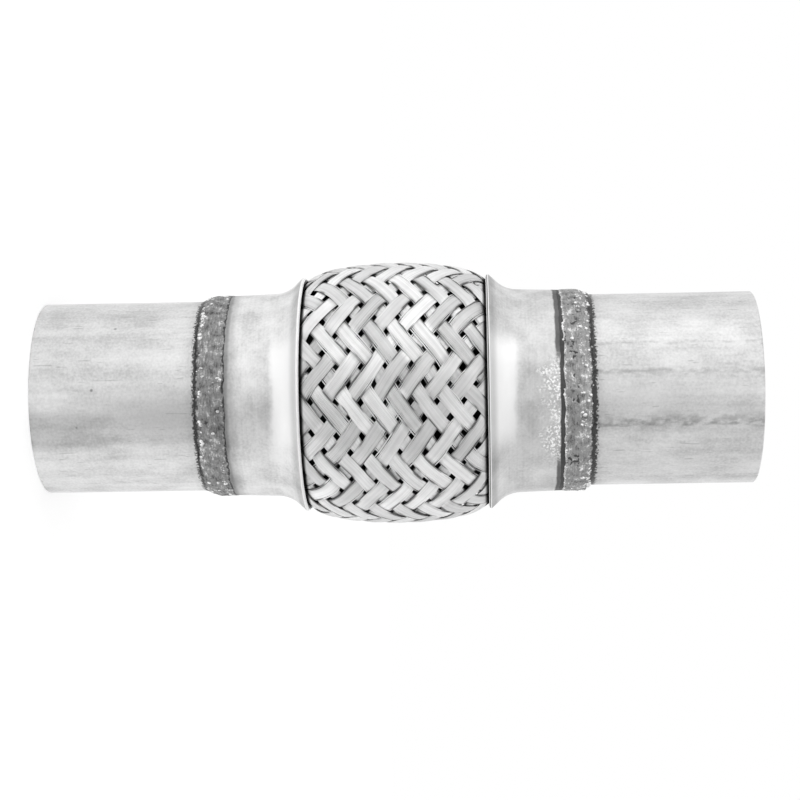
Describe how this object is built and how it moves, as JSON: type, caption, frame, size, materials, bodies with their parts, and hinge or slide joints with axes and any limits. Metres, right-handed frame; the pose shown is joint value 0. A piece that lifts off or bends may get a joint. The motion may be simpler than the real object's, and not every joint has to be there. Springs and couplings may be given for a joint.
{
  "type": "exhaust repair pipe",
  "caption": "Straight exhaust repair pipe: a barrel-shaped braided flexible unit between two plain extension pipes, welded into flared collars.",
  "frame": {"origin": "centre of the inlet pipe's open end, which the part stands on", "axes": "+Z along the pipe's axis from the inlet end to the outlet end, the way the gas flows; X and Y are across the pipe, and the flexible unit bends about Y"},
  "size_m": [0.074, 0.074, 0.2],
  "materials": {
    "pipe_steel": "dull rolled steel tube with faint lengthwise drawing marks",
    "collar_steel": "satin pressed steel, brighter on the rolled flare",
    "weld_bead": "rough grey weld bead with fine spatter",
    "ring_steel": "plain turned steel",
    "bellows_steel": "smooth formed stainless sheet",
    "liner_steel": "interlocked stainless strip",
    "braid_wire": "bright drawn stainless wire laid flat in bundles"
  },
  "bodies": {
    "inlet_end": {"inlet_pipe": "pipe_steel", "inlet_weld": "weld_bead", "inlet_collar": "collar_steel", "inlet_inner_ring": "ring_steel", "bellows": "bellows_steel", "liner": "liner_steel", "right_strand_01": "braid_wire", "right_strand_02": "braid_wire", "right_strand_03": "braid_wire", "right_strand_04": "braid_wire", "right_strand_05": "braid_wire", "right_strand_06": "braid_wire", "right_strand_07": "braid_wire", "right_strand_08": "braid_wire", "right_strand_09": "braid_wire", "right_strand_10": "braid_wire", "right_strand_11": "braid_wire", "right_strand_12": "braid_wire", "right_strand_13": "braid_wire", "right_strand_14": "braid_wire", "right_strand_15": "braid_wire", "right_strand_16": "braid_wire", "right_strand_17": "braid_wire", "right_strand_18": "braid_wire", "right_strand_19": "braid_wire", "right_strand_20": "braid_wire", "right_strand_21": "braid_wire", "right_strand_22": "braid_wire", "right_strand_23": "braid_wire", "right_strand_24": "braid_wire", "left_strand_01": "braid_wire", "left_strand_02": "braid_wire", "left_strand_03": "braid_wire", "left_strand_04": "braid_wire", "left_strand_05": "braid_wire", "left_strand_06": "braid_wire", "left_strand_07": "braid_wire", "left_strand_08": "braid_wire", "left_strand_09": "braid_wire", "left_strand_10": "braid_wire", "left_strand_11": "braid_wire", "left_strand_12": "braid_wire", "left_strand_13": "braid_wire", "left_strand_14": "braid_wire", "left_strand_15": "braid_wire", "left_strand_16": "braid_wire", "left_strand_17": "braid_wire", "left_strand_18": "braid_wire", "left_strand_19": "braid_wire", "left_strand_20": "braid_wire", "left_strand_21": "braid_wire", "left_strand_22": "braid_wire", "left_strand_23": "braid_wire", "left_strand_24": "braid_wire"},
    "outlet_end": {"outlet_pipe": "pipe_steel", "outlet_weld": "weld_bead", "outlet_collar": "collar_steel", "outlet_inner_ring": "ring_steel"}
  },
  "joints": [
    {"name": "flex_bend", "type": "hinge", "parent": "inlet_end", "child": "outlet_end", "pos_m": [0, 0, 0.1], "axis": [0, 1, 0], "range_deg": [-8, 8], "stiffness_Nm_per_rad": 40, "deforming": ["bellows", "liner", "right_strand_01", "right_strand_02", "right_strand_03", "right_strand_04", "right_strand_05", "right_strand_06", "right_strand_07", "right_strand_08", "right_strand_09", "right_strand_10", "right_strand_11", "right_strand_12", "right_strand_13", "right_strand_14", "right_strand_15", "right_strand_16", "right_strand_17", "right_strand_18", "right_strand_19", "right_strand_20", "right_strand_21", "right_strand_22", "right_strand_23", "right_strand_24", "left_strand_01", "left_strand_02", "left_strand_03", "left_strand_04", "left_strand_05", "left_strand_06", "left_strand_07", "left_strand_08", "left_strand_09", "left_strand_10", "left_strand_11", "left_strand_12", "left_strand_13", "left_strand_14", "left_strand_15", "left_strand_16", "left_strand_17", "left_strand_18", "left_strand_19", "left_strand_20", "left_strand_21", "left_strand_22", "left_strand_23", "left_strand_24"]}
  ]
}
